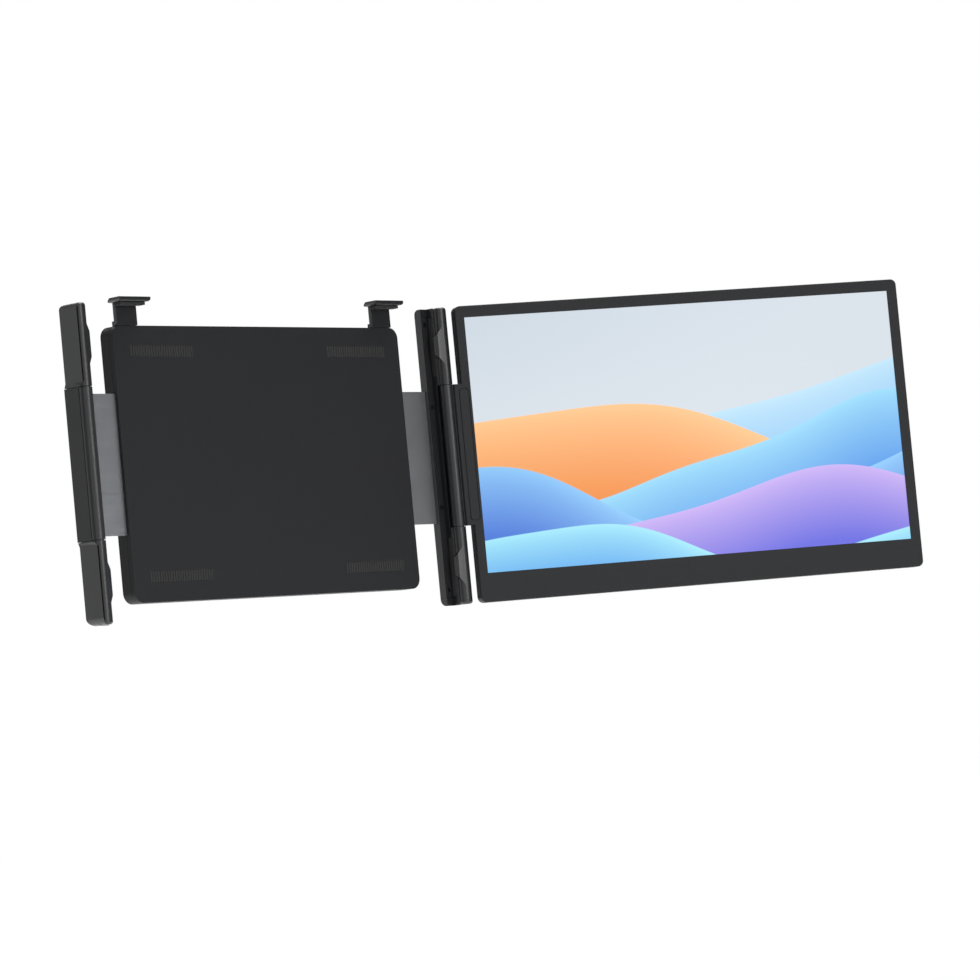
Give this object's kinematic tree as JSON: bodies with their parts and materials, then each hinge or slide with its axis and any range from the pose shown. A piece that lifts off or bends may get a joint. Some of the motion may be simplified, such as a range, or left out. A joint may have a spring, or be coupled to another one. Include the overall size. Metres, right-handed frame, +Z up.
{
  "type": "laptop screen extender",
  "caption": "Fold-out side screen on a sliding rail frame that clamps a laptop's lid, with friction hinges, top hooks and a kickstand.",
  "frame": {"origin": "middle of the seat, the face behind the laptop's lid that the lid's back rests on", "axes": "+X along the lid to the side with the screen, +Y away from the viewer, +Z up along the rails"},
  "size_m": [0.6925, 0.2113, 0.2296],
  "materials": {
    "moulded_black": "fine moulded texture",
    "satin_black": "satin",
    "rubber_black": "matte",
    "steel": "brushed",
    "black_steel": "black coated",
    "brass": "turned",
    "acetal": "moulded",
    "panel": "display panel with a plain printed picture",
    "backlight": "sheet",
    "circuit_board": "solder mask"
  },
  "bodies": {
    "frame": {"frame_front_shell": "moulded_black", "frame_rear_shell": "moulded_black", "seat_pads": "rubber_black", "frame_screws": "black_steel", "pinion_post": "steel", "kickstand_pin": "steel"},
    "pinion": {"sync_pinion": "acetal"},
    "stand": {"kickstand_plate": "satin_black", "kickstand_foot": "rubber_black"},
    "hook_left": {"left_hook": "moulded_black", "left_hook_pad": "rubber_black"},
    "hook_right": {"right_hook": "moulded_black", "right_hook_pad": "rubber_black"},
    "rail_left": {"left_rail_shell": "moulded_black", "left_rail_cover": "moulded_black", "left_side_pads": "rubber_black", "left_rail_screws": "black_steel", "left_slide_plate": "steel", "left_upper_shaft": "steel", "left_lower_shaft": "steel", "left_tube_caps": "satin_black"},
    "rail_right": {"right_rail_shell": "moulded_black", "right_rail_cover": "moulded_black", "right_side_pads": "rubber_black", "right_rail_screws": "black_steel", "right_slide_plate": "steel", "right_upper_shaft": "steel", "right_lower_shaft": "steel", "right_tube_caps": "satin_black"},
    "leaf_left": {"left_hinge_leaf": "black_steel", "left_leaf_cover": "moulded_black", "left_leaf_screws": "black_steel", "left_bushes": "brass", "left_washers": "black_steel"},
    "screen": {"screen_hinge_leaf": "black_steel", "screen_bushes": "brass", "screen_washers": "black_steel", "hinge_screws": "black_steel", "hinge_screw_strip": "moulded_black", "screen_bezel": "moulded_black", "screen_rear_cover": "moulded_black", "display_panel": "panel", "backlight_unit": "backlight", "driver_board": "circuit_board", "port_board": "circuit_board", "button_board": "circuit_board", "left_speaker": "rubber_black", "right_speaker": "rubber_black", "power_usb_port": "steel", "display_usb_port": "steel", "mini_video_port": "steel", "cover_screws": "black_steel"},
    "button": {"power_button": "satin_black"},
    "rocker": {"menu_rocker": "satin_black"}
  },
  "joints": [
    {"name": "right_slide", "type": "slide", "parent": "frame", "child": "rail_right", "axis": [1, 0, 0], "range_m": [-0.026, 0.018]},
    {"name": "left_slide", "type": "slide", "parent": "frame", "child": "rail_left", "axis": [-1, 0, 0], "range_m": [-0.0261, 0.0181]},
    {"name": "pinion_turn", "type": "hinge", "parent": "frame", "child": "pinion", "pos_m": [0, 0.0036, 0], "axis": [0, 1, 0], "range_deg": [-104, 150]},
    {"name": "screen_hinge", "type": "hinge", "parent": "rail_right", "child": "screen", "pos_m": [0.18215, -0.00921, 0], "axis": [0, 0, -1], "range_deg": [-60, 123]},
    {"name": "left_leaf_hinge", "type": "hinge", "parent": "rail_left", "child": "leaf_left", "pos_m": [-0.18215, -0.00921, 0], "axis": [0, 0, 1], "range_deg": [0, 228]},
    {"name": "left_hook_slide", "type": "slide", "parent": "frame", "child": "hook_left", "axis": [0, 0, 1], "range_m": [0, 0.02]},
    {"name": "right_hook_slide", "type": "slide", "parent": "frame", "child": "hook_right", "axis": [0, 0, 1], "range_m": [0, 0.02]},
    {"name": "kickstand_hinge", "type": "hinge", "parent": "frame", "child": "stand", "pos_m": [0, 0.01095, 0.056], "axis": [1, 0, 0], "range_deg": [0, 60]},
    {"name": "power_button_press", "type": "slide", "parent": "screen", "child": "button", "axis": [-0.866, 0.5, 0], "range_m": [0, 0.0004], "stiffness_N_per_m": 500, "springref_m": -0.0005},
    {"name": "menu_rocker_tilt", "type": "hinge", "parent": "screen", "child": "rocker", "pos_m": [0.50025, -0.19125, 0.036], "axis": [0.5, 0.866, 0], "range_deg": [-2, 2], "stiffness_Nm_per_rad": 0.02}
  ],
  "couplings": [
    {"joint": "left_slide", "follows": "right_slide", "ratio": 1},
    {"joint": "pinion_turn", "follows": "right_slide", "rad_per_m": -100}
  ]
}
